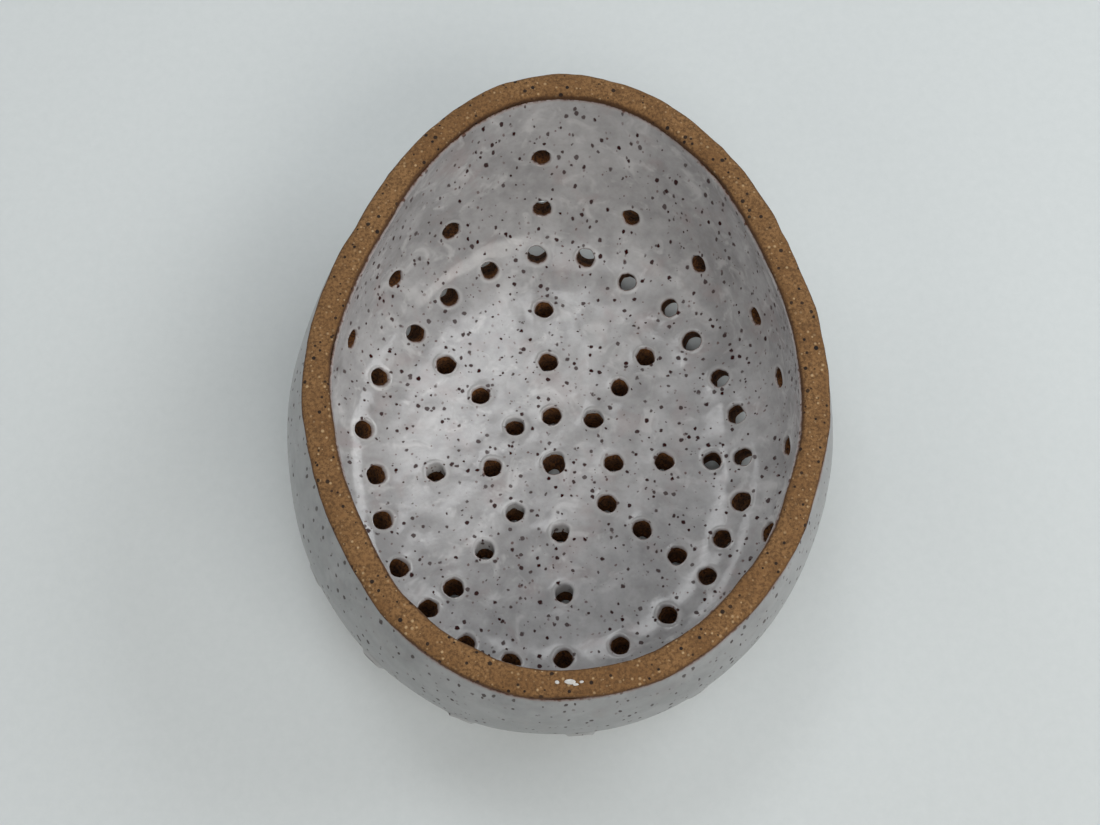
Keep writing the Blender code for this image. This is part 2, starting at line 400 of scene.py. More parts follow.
def glazeLumps(flat, spots):
    # how far the poured glaze stands off the clay: slow pools, finer dimples, and the seam where floor meets wall
    coat = innerCoat
    reach = np.hypot(flat[:, 0], flat[:, 1])
    turn = np.arctan2(flat[:, 1], flat[:, 0])
    ring = np.stack([np.cos(turn) * 45, np.sin(turn) * 45, np.zeros_like(turn)], 1)
    pools = coat["pools"] * noiseAt(spots, coat["poolLength"], 31)
    pools = pools + coat["dimples"] * noiseAt(spots, coat["dimpleLength"], 32)
    line = coat["seamReach"] + 0.09 * noiseAt(ring, 10, 33)
    strength = coat["seam"] * np.clip(0.35 + 1.5 * noiseAt(ring, 9, 34), 0, 1.15)
    strength = strength * (0.12 + 0.88 * smooth(-0.2, 0.5, -np.cos(turn)))  # smoothed away on the right side
    seam = strength * np.exp(-((reach - line) / coat["seamWidth"]) ** 2)
    nearFloorEdge = np.exp(-((reach - coat["curdleReach"]) / coat["curdleWidth"]) ** 2)
    curdles = coat["curdles"] * noiseAt(spots, coat["curdleLength"], 35) * nearFloorEdge
    return (pools + seam + curdles) * (1 - smooth(2.8, 3.0, reach))


def settleRings(sheet, holes, rounding, collar, runs, swell=0.16):
    # rounds the mouths over and runs the coat down the side of each hole; swell hides its end in the clay
    spots = sheet["spot"].copy()
    for hole in holes:
        here = np.flatnonzero(sheet["hole"] == hole["number"])
        gap, spin, down = sheet["gap"][here], sheet["spin"][here], sheet["down"][here]
        inside = np.clip(gap, 0, rounding)
        sink = rounding - np.sqrt(np.maximum(0, rounding ** 2 - (rounding - inside) ** 2))
        around = np.stack([np.cos(holeTurns), np.sin(holeTurns), np.full_like(holeTurns, hole["number"] * 1.9)], 1)
        fullness = np.clip(0.6 + 0.9 * noiseAt(around, 1.3, 14), 0.05, 1.3)
        stand = collar * fullness[spin] * smooth(0.05, 0.4, gap) * (1 - smooth(0.5, 1.1, gap))
        share = down / max(1, down.max())
        depth = rounding + (runs(hole)[spin] - rounding) * share ** 1.3
        sink = np.where(down > 0, depth, sink) - stand
        outward = aroundHole(hole, np.ones(len(holeTurns)))
        widen = np.where(down > 0, swell * share ** 2, 0)
        spots[here] = spots[here] + sink[:, None] * hole["out"] + outward[spin] * widen[:, None]
    return spots


def glazeRun(hole):
    ring = np.stack([np.cos(holeTurns), np.sin(holeTurns), np.full_like(holeTurns, hole["number"] * 2.3)], 1)
    uneven = 1 + 0.35 * noiseAt(ring, 1.1, 4)
    far = smooth(-0.5, 0.6, np.sin(holeTurns))  # glaze pooled down the far side
    usual = stemHoles["run"] * uneven * (0.75 + 0.5 * far)
    return usual + (hole["run"] - stemHoles["run"]) * far


def makeInnerGlaze():
    coat = innerCoat
    rows = sheetRows(coat["grain"]) + lipRows(56, coat["grain"])
    sheet = pierceSheet(0.0, coat["grain"], rows, coat["offsets"], coat["tubeRings"], holeList)
    spots = settleRings(sheet, holeList, coat["rounding"], coat["collar"], glazeRun)
    reach = np.hypot(sheet["flat"][:, 0], sheet["flat"][:, 1])
    turn = np.arctan2(sheet["flat"][:, 1], sheet["flat"][:, 0])
    out = np.stack([np.cos(turn), np.sin(turn), np.zeros_like(turn)], 1)
    ring = np.stack([np.cos(turn) * 56, np.sin(turn) * 56, np.zeros_like(turn)], 1)
    wander = noiseAt(ring, 7, 2) * coat["topWander"] + noiseAt(ring, 2.6, 3) * coat["topWander"] * 0.5
    lift = smooth(3.0, 3.072, reach)
    spots[:, 2] += wander * np.clip((reach - 2.95) / 0.122, 0, 1)
    roll = 0.06 * smooth(2.97, 3.01, reach) * (1 - smooth(3.03, 3.06, reach))  # glaze thickens along its top edge
    spots += out * (coat["tuck"] * lift ** 3 - roll)[:, None]
    gap = distanceToHoles(sheet, holeList)
    through = outThrough(sheet["flat"])
    gap = np.where(sheet["down"] > 0, -np.abs(((spots - sheet["spot"]) * through).sum(1)), gap)
    edge = np.clip((3.072 - reach) * 10, 0, 9)
    for hole in holeList:  # inside a hole, the edge of the glaze is where its run stops
        here = np.flatnonzero((sheet["hole"] == hole["number"]) & (sheet["gap"] < 0.5))
        share = sheet["down"][here] / coat["tubeRings"]
        run = np.maximum(glazeRun(hole)[sheet["spin"][here]] - coat["rounding"], 0.05)
        edge[here] = np.where(share > 0, run * (1 - share), run + sheet["gap"][here])
    spots -= through * glazeLumps(sheet["flat"], sheet["spot"])[:, None]
    piece = makeObject("innerGlaze", pushedByHand(spots), sheet["faces"])
    setAttribute(piece, "mouthGap", np.clip(gap, -6, 5))
    setAttribute(piece, "edgeGap", edge)
    thicken(piece, coat["thickness"], np.where(sheet["down"] > 0, 0.35, 1) * (1 - 0.8 * lift))
    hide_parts("inner_glaze")
    print("inner glaze poured:", len(piece.data.polygons), "faces")
    return piece


bodyClay = {
    "grain": 3.2,
    "offsets": (1.1, 0.5, 0.0),
    "tubeRings": 6,
    "belowGlaze": 0.5,
    "rough": 0.16,  # torn clay inside the holes
    "slack": 0.1,  # how much wider the hole is than the glaze in its mouth
    "narrower": 0.24,  # share of the radius a floor hole loses by the time it comes out underneath
    "lipRow": 120,  # points round the lip, the same inside and out
    "footStart": 1.4,  # the bare foot ends and the glazed wall starts between these
    "footEnd": 1.56,
    "footThicker": 0.45,
}


def outerDepth(reach):
    # the bare foot stands out past the clay under the glaze
    drop = potShape["floorTop"] - potShape["wall"] + bodyClay["footThicker"]
    return potShape["floorTop"] - drop * smooth(bodyClay["footStart"], bodyClay["footEnd"], reach)


def makeClayWall():
    clay = bodyClay
    points, faces, lips, halves = [], [], [], []
    exits = {hole["number"]: onSheet(whereHoleCrosses(hole, outerDepth), outerDepth)[0] for hole in holeList}
    for side, depth in (("in", clay["belowGlaze"]), ("out", outerDepth)):
        rows = sheetRows(clay["grain"]) + [(3.0, clay["lipRow"])]
        if len(rows) % 2 == 0:  # an odd last row starts half a step round, so both lips get the same phase
            rows.insert(-1, (rows[-2][0] * 0.5 + 1.5, rows[-2][1]))
        sheet = pierceSheet(depth, clay["grain"], rows, clay["offsets"], clay["tubeRings"], holeList)
        spots = sheet["spot"].copy()
        for hole in holeList:
            here = np.flatnonzero(sheet["hole"] == hole["number"])
            spin, down = sheet["spin"][here], sheet["down"][here]
            wide = aroundHole(hole, hole["radii"] + clay["slack"])
            away = wide / np.linalg.norm(wide, axis=1, keepdims=True)
            halfway = (hole["middle"] + exits[hole["number"]]) / 2 + wide  # the two halves meet here
            share = (down / clay["tubeRings"])[:, None]
            atMouth = (sheet["gap"][here] < 0.1)[:, None]
            mouth = spots[here] + away[spin] * clay["slack"] * atMouth
            spots[here] = np.where(down[:, None] > 0, mouth * (1 - share) + halfway[spin] * share, mouth)
            if side == "out" and hole["reach"] < stemHoles["floorReach"]:
                spots[here] -= away[spin] * clay["narrower"] * hole["radius"] * atMouth * (1 - share)
            torn = noiseAt(spots[here], 1.1, 6) * 0.6 + noiseAt(spots[here], 0.45, 7) * 0.4
            spots[here] += away[spin] * (clay["rough"] * torn * np.minimum(1, down / 2))[:, None]
        start = sum(len(p) for p in points)
        points.append(spots)
        faces += [tuple(v + start for v in (face if side == "in" else face[::-1])) for face in sheet["faces"]]
        lips.append([int(v) + start for v in sheet["lastRow"]])
        halves.append(sheet)
    inner, outer = lips
    for i in range(len(inner)):
        j = (i + 1) % len(inner)
        faces.append((inner[i], inner[j], outer[j], outer[i]))
    piece = makeObject("clayWall", pushedByHand(np.concatenate(points)), faces)
    gap = np.concatenate([np.where(half["down"] > 0, -half["down"],
                                   distanceToHoles(half, holeList)) for half in halves])
    setAttribute(piece, "mouthGap", np.clip(gap, -9, 5))
    bpy.context.view_layer.objects.active = piece
    piece.select_set(True)
    bpy.ops.object.mode_set(mode="EDIT")
    bpy.ops.mesh.select_all(action="SELECT")
    bpy.ops.mesh.remove_doubles(threshold=0.00002)
    bpy.ops.mesh.normals_make_consistent(inside=False)
    bpy.ops.object.mode_set(mode="OBJECT")
    piece.select_set(False)
    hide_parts("clay_wall")
    print("clay wall built:", len(piece.data.polygons), "faces")
    return piece


outerCoat = {
    "grain": 1.8,
    "offsets": (1.2, 0.8, 0.5, 0.3, 0.14, 0.0),
    "rounding": 0.35,
    "collar": 0.3,  # clay pushed out when the holes were punched
    "tubeRings": 3,
    "thickness": 0.3,
    "footLine": 1.56,
    "footWander": 0.03,
    "topWander": 0.22,
    "footHigher": (95, 230, 0.1),  # from turn to turn, the glaze stops higher to clear the leaning holes
    "burrs": {214: 0.35, 234: 0.6, 253: 0.5, 274: 0.6, 296: 0.35},  # height of the clay round these holes, by turn
    "tuck": 0.42,  # how far the top edge goes in under the bare lip
    "footRoll": 0.12,  # how much thicker the glaze is where it stops above the foot
}


def makeOuterGlaze():
    coat = outerCoat
    glazed = [hole for hole in holeList if hole["reach"] > coat["footLine"] + 0.1]

    def foot(turn):
        ring = np.stack([np.cos(turn) * 50, np.sin(turn) * 50, np.zeros_like(turn)], 1)
        first, last, higher = coat["footHigher"]
        middle, half = math.radians((first + last) / 2), math.radians((last - first) / 2)
        away = np.abs((turn - middle + math.pi) % (2 * math.pi) - math.pi)
        line = coat["footLine"] + higher * (1 - smooth(half, half + 0.25, away))
        return line + coat["footWander"] * (noiseAt(ring, 11, 8) + 0.35 * noiseAt(ring, 3.5, 9))

    count = int(2 * math.pi * 62 / coat["grain"])
    rows = [(coat["footLine"], count), (coat["footLine"] + 0.008, count), (coat["footLine"] + 0.022, count)]
    rows += sheetRows(coat["grain"], coat["footLine"] + 0.06) + lipRows(62, coat["grain"])
    sheet = pierceSheet(potShape["wall"], coat["grain"], rows, coat["offsets"], coat["tubeRings"], glazed, foot)
    spots = sheet["spot"].copy()
    for hole in glazed:
        here = np.flatnonzero(sheet["hole"] == hole["number"])
        gap, spin, down = sheet["gap"][here], sheet["spin"][here], sheet["down"][here]
        inside = np.clip(gap, 0, coat["rounding"])
        sink = coat["rounding"] - np.sqrt(np.maximum(0, coat["rounding"] ** 2 - (coat["rounding"] - inside) ** 2))
        turn = round(math.degrees(math.atan2(hole["flat"][1], hole["flat"][0]))) % 360
        ring = np.stack([np.cos(holeTurns), np.sin(holeTurns), np.full_like(holeTurns, hole["number"])], 1)
        burr = coat["burrs"].get(turn, coat["collar"]) * (1 + 0.3 * noiseAt(ring, 1.2, 11))
        stand = burr[spin] * (1 - smooth(0.15, 1.2, gap))
        share = down / coat["tubeRings"]
        sink = np.where(down > 0, coat["rounding"] + 0.6 * share, sink) - stand
        away = aroundHole(hole, np.ones(len(holeTurns)))
        spots[here] += -sink[:, None] * hole["out"] + away[spin] * (0.18 * share ** 2)[:, None]
    reach = np.hypot(sheet["flat"][:, 0], sheet["flat"][:, 1])
    turn = np.arctan2(sheet["flat"][:, 1], sheet["flat"][:, 0])
    out = np.stack([np.cos(turn), np.sin(turn), np.zeros_like(turn)], 1)
    ring = np.stack([np.cos(turn) * 62, np.sin(turn) * 62, np.zeros_like(turn)], 1)
    wander = noiseAt(ring, 8, 12) * coat["topWander"] + noiseAt(ring, 3, 13) * 0.1
    lift = smooth(3.0, 3.072, reach)
    spots[:, 2] += wander * np.clip((reach - 2.95) / 0.122, 0, 1)
    spots -= out * (coat["tuck"] * lift ** 3)[:, None]
    climb = reach - foot(turn)
    through = outThrough(sheet["flat"])
    bottom = 1 - smooth(0.0, 0.024, climb)
    spots -= through * (0.5 * bottom ** 2)[:, None]  # the rolled edge of the glaze above the foot
    spots += through * (coat["footRoll"] * smooth(0.0, 0.02, climb) * (1 - smooth(0.03, 0.12, climb)))[:, None]
    gap = distanceToHoles(sheet, glazed)
    gap = np.where(sheet["down"] > 0, -0.3 * sheet["down"], gap)
    edge = np.minimum((3.072 - reach) * 10, climb * 26)
    piece = makeObject("outerGlaze", pushedByHand(spots), [face[::-1] for face in sheet["faces"]])
    setAttribute(piece, "mouthGap", np.clip(gap, -6, 5))
    setAttribute(piece, "edgeGap", np.clip(edge, 0, 9))
    thicken(piece, coat["thickness"], np.where(sheet["down"] > 0, 0.35, 1) * (1 - 0.8 * lift) * (1 - 0.8 * bottom))
    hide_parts("outer_glaze")
    print("outer glaze dipped:", len(piece.data.polygons), "faces")
    return piece


bareRim = {
    "halfWidth": 2.98,
    "around": 256,
    "across": 28,
    "bottom": 46.95,
    "square": 0.72,  # 1 would be a round section
    "uneven": 0.34,  # depth of the dents left by fingers and sponge
    "unevenLength": 9.5,
    "sandy": 0.045,
}


def makeRimBand():
    rim = bareRim
    top = rimHigh[2] / mm
    bpy.ops.mesh.primitive_torus_add(major_segments=rim["around"], minor_segments=rim["across"],
                                     major_radius=50 * mm, minor_radius=3 * mm)
    piece = bpy.context.object
    piece.name = piece.data.name = "rimBand"
    points = np.array([v.co for v in piece.data.vertices]) / mm
    turn = np.arctan2(points[:, 1], points[:, 0])
    lean = np.arctan2(points[:, 2], np.hypot(points[:, 0], points[:, 1]) - 50)
    out = np.stack([np.cos(turn), np.sin(turn), np.zeros_like(turn)], 1)
    across = np.sign(np.cos(lean)) * np.abs(np.cos(lean)) ** rim["square"]
    up = np.sign(np.sin(lean)) * np.abs(np.sin(lean)) ** rim["square"]
    spots = out * (lipRadius(turn) + rim["halfWidth"] * across)[:, None]
    spots[:, 2] = (rim["bottom"] + top) / 2 + (top - rim["bottom"]) / 2 * up
    dents = noiseAt(spots, rim["unevenLength"], 15) * rim["uneven"] + noiseAt(spots, 3.6, 16) * rim["uneven"] * 0.45
    dents += noiseAt(spots, 1.2, 17) * rim["sandy"]
    spots += out * (across * dents * 1.2)[:, None]
    spots[:, 2] += np.where(up > 0, up * dents, 0)
    spots = pushedByHand(spots) + potPlace
    piece.data.vertices.foreach_set("co", (spots * mm).astype(np.float32).ravel())
    piece.data.update()
    piece.data.polygons.foreach_set("use_smooth", [True] * len(piece.data.polygons))
    setAttribute(piece, "rimSide", across)
    setAttribute(piece, "rimUp", up)
    piece.select_set(False)
    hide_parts("rim_band")
    print("rim rolled:", len(piece.data.polygons), "faces")
    return piece


clayWall = makeClayWall()
innerGlaze = makeInnerGlaze()
outerGlaze = makeOuterGlaze()
rimBand = makeRimBand()


glazeSplashes = {
    # turn round the rim, distance from its middle line, length, width, height
    "drops": ((270.4, -0.3, 2.2, 1.1, 0.24), (268.3, -0.3, 0.85, 0.65, 0.17),
              (272.3, -0.1, 0.8, 0.55, 0.15), (271.3, 0.3, 1.1, 0.55, 0.16)),
    "sunk": 0.12,  # below the top of the rim
    "uneven": 0.1,
    "unevenLength": 0.9,
}


def makeGlazeSplash():
    low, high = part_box("glaze_splash")
    drops = []
    for turn, aside, length, width, height in glazeSplashes["drops"]:
        angle = math.radians(turn)
        radius = float(lipRadius(np.array([angle]))[0]) + aside
        place = np.array([math.cos(angle) * radius, math.sin(angle) * radius, 0.0])
        place[2] = rimHigh[2] / mm - glazeSplashes["sunk"]
        place = pushedByHand(place[None])[0] + potPlace
        bpy.ops.mesh.primitive_uv_sphere_add(segments=32, ring_count=18, radius=mm / 2, location=place * mm)
        drop = bpy.context.object
        drop.scale = (length, width, height * 2)
        drop.rotation_euler = (0, 0, angle + math.pi / 2)
        bpy.ops.object.transform_apply(location=True, rotation=True, scale=True)
        for vertex in drop.data.vertices:
            shift = noise.noise_vector(vertex.co / (glazeSplashes["unevenLength"] * mm))
            vertex.co += Vector(shift) * glazeSplashes["uneven"] * mm
        drops.append(drop)
    bpy.ops.object.select_all(action="DESELECT")
    for drop in drops:
        drop.select_set(True)
    bpy.context.view_layer.objects.active = drops[0]
    bpy.ops.object.join()
    piece = bpy.context.object
    bpy.ops.object.origin_set(type="ORIGIN_CURSOR", center="MEDIAN")
    piece.name = piece.data.name = "glazeSplash"
    bpy.ops.object.shade_smooth()
    piece.select_set(False)
    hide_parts("glaze_splash")
    print("splash dripped on the rim, between", (np.array(low) / mm).round(1), "and",
          (np.array(high) / mm).round(1))
    return piece


bpy.context.scene.cursor.location = (0, 0, 0)
glazeSplash = makeGlazeSplash()


def hexColour(code):
    parts = [int(code[i:i + 2], 16) / 255 for i in (1, 3, 5)]
    return tuple(p / 12.92 if p <= 0.04045 else ((p + 0.055) / 1.055) ** 2.4 for p in parts) + (1.0,)


def addNode(tree, kind, inputs=None, **settings):
    node = tree.nodes.new(kind)
    for key, value in settings.items():
        setattr(node, key, value)
    for key, value in (inputs or {}).items():
        if isinstance(value, bpy.types.NodeSocket):
            tree.links.new(value, node.inputs[key])
        else:
            node.inputs[key].default_value = value
    return node


def startMaterial(name):
    material = bpy.data.materials.new(name)
    material.use_nodes = True
    tree = material.node_tree
    tree.nodes.clear()
    shader = addNode(tree, "ShaderNodeBsdfPrincipled")
    addNode(tree, "ShaderNodeOutputMaterial", {"Surface": shader.outputs["BSDF"]})
    spots = addNode(tree, "ShaderNodeTexCoord").outputs["Object"]
    return material, tree, shader, spots


def grainPattern(tree, spots, every, widest, narrowest, seed, soft=0.45, weakest=0.3):
    # round grains set in the body, cut through by the surface; every, widest and narrowest are millimetres
    shift = {0: spots, 1: (seed * 0.013, seed * 0.007, seed * 0.011)}
    moved = addNode(tree, "ShaderNodeVectorMath", shift, operation="ADD")
    cells = addNode(tree, "ShaderNodeTexVoronoi", {"Vector": moved.outputs[0], "Scale": 1000 / every})
    chance = addNode(tree, "ShaderNodeSeparateColor", {0: cells.outputs["Color"]})
    sizes = {"Value": chance.outputs[0], "To Min": narrowest / 2 / every, "To Max": widest / 2 / every}
    radius = addNode(tree, "ShaderNodeMapRange", sizes)
    share = addNode(tree, "ShaderNodeMath", {0: cells.outputs["Distance"], 1: radius.outputs[0]},
                    operation="DIVIDE")
    edge = {"Value": share.outputs[0], "From Min": 1 + soft / 2, "From Max": 1 - soft}
    disc = addNode(tree, "ShaderNodeMapRange", edge, interpolation_type="SMOOTHSTEP")
    weight = addNode(tree, "ShaderNodeMapRange", {"Value": chance.outputs[1], "To Min": weakest, "To Max": 1.0})
    return addNode(tree, "ShaderNodeMath", {0: disc.outputs[0], 1: weight.outputs[0]},
                   operation="MULTIPLY").outputs[0]


def speckledGlaze(name, look):
    # Satin oatmeal glaze over iron-rich stoneware, poured and fired to cone 6: a soft milky sheen that breaks
    # brown where it is thin, with dark iron specks bleeding through and paler rings round the holes.
    material, tree, shader, spots = startMaterial(name)
    colour = {key: hexColour(value) for key, value in look.items() if isinstance(value, str)}

    # spots stretched down the wall and bent a little, so that no speck is a perfect disc
    stretch = addNode(tree, "ShaderNodeMapping", {"Vector": spots, "Scale": (1, 1, look["runDown"])})
    wobble = addNode(tree, "ShaderNodeTexNoise", {"Vector": stretch.outputs[0], "Scale": 1000 / look["bendSize"],
                                                  "Detail": 1})
    centred = addNode(tree, "ShaderNodeVectorMath", {0: wobble.outputs["Color"], 1: (0.5, 0.5, 0.5)},
                      operation="SUBTRACT")
    bent = addNode(tree, "ShaderNodeVectorMath", {0: centred.outputs[0], "Scale": look["bend"] * mm},
                   operation="SCALE")
    warped = addNode(tree, "ShaderNodeVectorMath", {0: stretch.outputs[0], 1: bent.outputs[0]},
                     operation="ADD").outputs[0]

    # body colour: slow clouds and smaller pools
    clouds = addNode(tree, "ShaderNodeTexNoise", {"Vector": spots, "Scale": 1000 / look["cloudSize"], "Detail": 4,
                                                  "Roughness": 0.6})
    tone = addNode(tree, "ShaderNodeMapRange", {"Value": clouds.outputs["Fac"], "From Min": 0.32, "From Max": 0.68})
    pools = addNode(tree, "ShaderNodeTexNoise", {"Vector": spots, "Scale": 1000 / look["poolSize"], "Detail": 3,
                                                 "Roughness": 0.6})
    pooled = addNode(tree, "ShaderNodeMapRange", {"Value": pools.outputs["Fac"], "From Min": 0.35, "From Max": 0.65,
                                                  "To Min": -look["poolAmount"], "To Max": look["poolAmount"]})
    bothTones = addNode(tree, "ShaderNodeMath", {0: tone.outputs[0], 1: pooled.outputs[0]}, operation="ADD",
                        use_clamp=True)
    base = addNode(tree, "ShaderNodeMix", {"Factor": bothTones.outputs[0], "A": colour["deep"],
                                           "B": colour["pale"]}, data_type="RGBA")

    # pinkish blushes, thin curdled places and thick milky patches
    blush = addNode(tree, "ShaderNodeTexNoise", {"Vector": spots, "Scale": 1000 / look["blushSize"], "Detail": 3,
                                                 "Roughness": 0.55, "Distortion": 0.4})
    blushing = addNode(tree, "ShaderNodeMapRange", {"Value": blush.outputs["Fac"], "From Min": 0.52,
                                                    "From Max": 0.72, "To Max": look["blushAmount"]},
                       interpolation_type="SMOOTHSTEP")
    warm = addNode(tree, "ShaderNodeMix", {"Factor": blushing.outputs[0], "A": base.outputs[2],
                                           "B": colour["blush"]}, data_type="RGBA")
    curdle = addNode(tree, "ShaderNodeTexNoise", {"Vector": spots, "Scale": 1000 / look["curdleSize"], "Detail": 3,
                                                  "Roughness": 0.6})
    curdled = addNode(tree, "ShaderNodeMapRange", {"Value": curdle.outputs["Fac"], "From Min": 0.5,
                                                   "From Max": 0.75, "To Max": look["curdle"]})
    curdledTone = addNode(tree, "ShaderNodeMix", {"Factor": curdled.outputs[0], "A": warm.outputs[2],
                                                  "B": colour["thin"]}, data_type="RGBA")
    thick = addNode(tree, "ShaderNodeTexNoise", {"Vector": spots, "Scale": 1000 / look["milkSize"], "Detail": 3,
                                                 "Roughness": 0.62, "Distortion": 0.6})
    thickly = addNode(tree, "ShaderNodeMapRange", {"Value": thick.outputs["Fac"], "From Min": 0.52, "From Max": 0.7,
                                                   "To Max": look["milkAmount"]}, interpolation_type="SMOOTHSTEP")
    milky = addNode(tree, "ShaderNodeMix", {"Factor": thickly.outputs[0], "A": curdledTone.outputs[2],
                                            "B": colour["milk"]}, data_type="RGBA")

    # a paler ragged ring round each hole, and the same pale glaze down its side; mouthGap is below 0 inside a hole
    gap = addNode(tree, "ShaderNodeAttribute", attribute_name="mouthGap").outputs["Fac"]
    rag = addNode(tree, "ShaderNodeTexNoise", {"Vector": spots, "Scale": 1000 / look["ragSize"], "Detail": 2})
    ragged = addNode(tree, "ShaderNodeMath", {0: rag.outputs["Fac"], 1: look["rag"], 2: -look["rag"] / 2},
                     operation="MULTIPLY_ADD")
    raggedGap = addNode(tree, "ShaderNodeMath", {0: gap, 1: ragged.outputs[0]}, operation="ADD").outputs[0]
    ringIn = addNode(tree, "ShaderNodeMapRange", {"Value": gap, "From Min": 0.15, "From Max": 0.5},
                     interpolation_type="SMOOTHSTEP")
    ringOut = addNode(tree, "ShaderNodeMapRange", {"Value": raggedGap, "From Min": 1.5, "From Max": 0.7,
                                                   "To Max": look["ringAmount"]}, interpolation_type="SMOOTHSTEP")
    ring = addNode(tree, "ShaderNodeMath", {0: ringIn.outputs[0], 1: ringOut.outputs[0]}, operation="MULTIPLY")
    ringed = addNode(tree, "ShaderNodeMix", {"Factor": ring.outputs[0], "A": milky.outputs[2], "B": colour["ring"]},
                     data_type="RGBA")
    lining = addNode(tree, "ShaderNodeMapRange", {"Value": gap, "From Min": 0.0, "From Max": -0.7,
                                                  "To Max": look["liningAmount"]}, interpolation_type="SMOOTHSTEP")
    lined = addNode(tree, "ShaderNodeMix", {"Factor": lining.outputs[0], "A": ringed.outputs[2],
                                            "B": colour["ring"]}, data_type="RGBA")

    # specks: small ones veiled by glaze, and dark iron that came through it
    faint = grainPattern(tree, warped, look["faintEvery"], look["faintWide"], look["faintNarrow"], 3, 0.4, 0.4)
    faintly = addNode(tree, "ShaderNodeMath", {0: faint, 1: look["faintAmount"]}, operation="MULTIPLY")
    veiled = addNode(tree, "ShaderNodeMix", {"Factor": faintly.outputs[0], "A": lined.outputs[2],
                                             "B": colour["veil"]}, data_type="RGBA")
    iron = grainPattern(tree, warped, look["ironEvery"], look["ironWide"], look["ironNarrow"], 9, 0.28, 0.75)
    ironed = addNode(tree, "ShaderNodeMath", {0: iron, 1: look["ironAmount"]}, operation="MULTIPLY")
    specked = addNode(tree, "ShaderNodeMix", {"Factor": ironed.outputs[0], "A": veiled.outputs[2],
                                              "B": colour["iron"]}, data_type="RGBA")

    # the glaze breaks brown at its edges; edgeGap is how far away they are
    edge = addNode(tree, "ShaderNodeAttribute", attribute_name="edgeGap").outputs["Fac"]
    raggedEdge = addNode(tree, "ShaderNodeMath", {0: edge, 1: ragged.outputs[0]}, operation="ADD")
    halo = addNode(tree, "ShaderNodeMapRange", {"Value": raggedEdge.outputs[0], "From Min": 0.75, "From Max": 0.1,
                                                "To Max": look["haloAmount"]}, interpolation_type="SMOOTHSTEP")
    haloed = addNode(tree, "ShaderNodeMix", {"Factor": halo.outputs[0], "A": specked.outputs[2],
                                             "B": colour["halo"]}, data_type="RGBA")
    thinning = addNode(tree, "ShaderNodeMapRange", {"Value": raggedEdge.outputs[0], "From Min": 0.3,
                                                    "From Max": 0.0}, interpolation_type="SMOOTHSTEP")
    broken = addNode(tree, "ShaderNodeMix", {"Factor": thinning.outputs[0], "A": haloed.outputs[2],
                                             "B": colour["break"]}, data_type="RGBA")
    tree.links.new(broken.outputs[2], shader.inputs["Base Color"])

    # satin sheen, drier in the clouds and on the iron
    satin = addNode(tree, "ShaderNodeMapRange", {"Value": clouds.outputs["Fac"], "From Min": 0.3, "From Max": 0.7,
                                                 "To Min": look["gloss"] - 0.05, "To Max": look["gloss"] + 0.07})
    dulled = addNode(tree, "ShaderNodeMath", {0: iron, 1: 0.18, 2: satin.outputs[0]}, operation="MULTIPLY_ADD")
    tree.links.new(dulled.outputs[0], shader.inputs["Roughness"])
    anySpeck = addNode(tree, "ShaderNodeMath", {0: ironed.outputs[0], 1: faintly.outputs[0]}, operation="MAXIMUM")
    matt = addNode(tree, "ShaderNodeMath", {0: anySpeck.outputs[0], 1: -0.47, 2: 0.5}, operation="MULTIPLY_ADD")
    tree.links.new(matt.outputs[0], shader.inputs["Specular IOR Level"])
    shader.inputs["IOR"].default_value = 1.5

    # orange peel and a finer ripple
    peel = addNode(tree, "ShaderNodeTexNoise", {"Vector": spots, "Scale": 1000 / look["peelSize"], "Detail": 2,
                                                "Roughness": 0.4})
    fine = addNode(tree, "ShaderNodeTexNoise", {"Vector": spots, "Scale": 1000 / look["fineSize"], "Detail": 1})
    peelBump = addNode(tree, "ShaderNodeBump", {"Strength": 1.0, "Distance": look["peel"] * mm,
                                                "Height": peel.outputs["Fac"]})
    fineBump = addNode(tree, "ShaderNodeBump", {"Strength": 1.0, "Distance": look["fine"] * mm,
                                                "Height": fine.outputs["Fac"], "Normal": peelBump.outputs[0]})
    tree.links.new(fineBump.outputs[0], shader.inputs["Normal"])
    return material


# sizes, widths and heights in millimetres
insideLook = {
    "deep": "#9A9999", "pale": "#B7B6B6", "cloudSize": 14, "poolSize": 3.6, "poolAmount": 0.22,
    "blush": "#A79A98", "blushAmount": 0.45, "blushSize": 9,
    "thin": "#99938F", "curdle": 0.3, "curdleSize": 1.1,
    "milk": "#CFCECD", "milkAmount": 0.6, "milkSize": 6.5,
    "ring": "#BFBEBC", "ringAmount": 0.4, "liningAmount": 0.7, "rag": 0.5, "ragSize": 0.9,
    "veil": "#5A3531", "faintAmount": 0.8, "faintEvery": 1.7, "faintWide": 0.75, "faintNarrow": 0.25,
    "iron": "#300A09", "ironAmount": 1.0, "ironEvery": 2.1, "ironWide": 1.25, "ironNarrow": 0.45,
    "runDown": 0.62,  # specks stretch where the glaze ran down the wall
    "bend": 0.6, "bendSize": 0.909,
    "halo": "#93776A", "haloAmount": 0.5, "break": "#55321D",
    "gloss": 0.17, "peel": 0.05, "peelSize": 2.6, "fine": 0.012, "fineSize": 0.6,
}
# the same glaze on the outside wall, with less milk and fainter specks; its darker deep, pale, blush and milk colours
# are painted shade
outsideLook = dict(insideLook, deep="#868787", pale="#9C9D9D", blush="#8E8A88", milk="#AAABAB", milkAmount=0.3,
                   veil="#6A5D5A", faintAmount=0.6, iron="#33201C", ironAmount=0.85, ironWide=1.1,
                   gloss=0.33, peel=0.02, fine=0.004)
splashLook = dict(insideLook, deep="#B2B1AC", pale="#CFCEC9", blush="#BDB5A9", milk="#D6D5D1",
                  ironAmount=0.0, faintAmount=0.0, haloAmount=0.0, gloss=0.2)


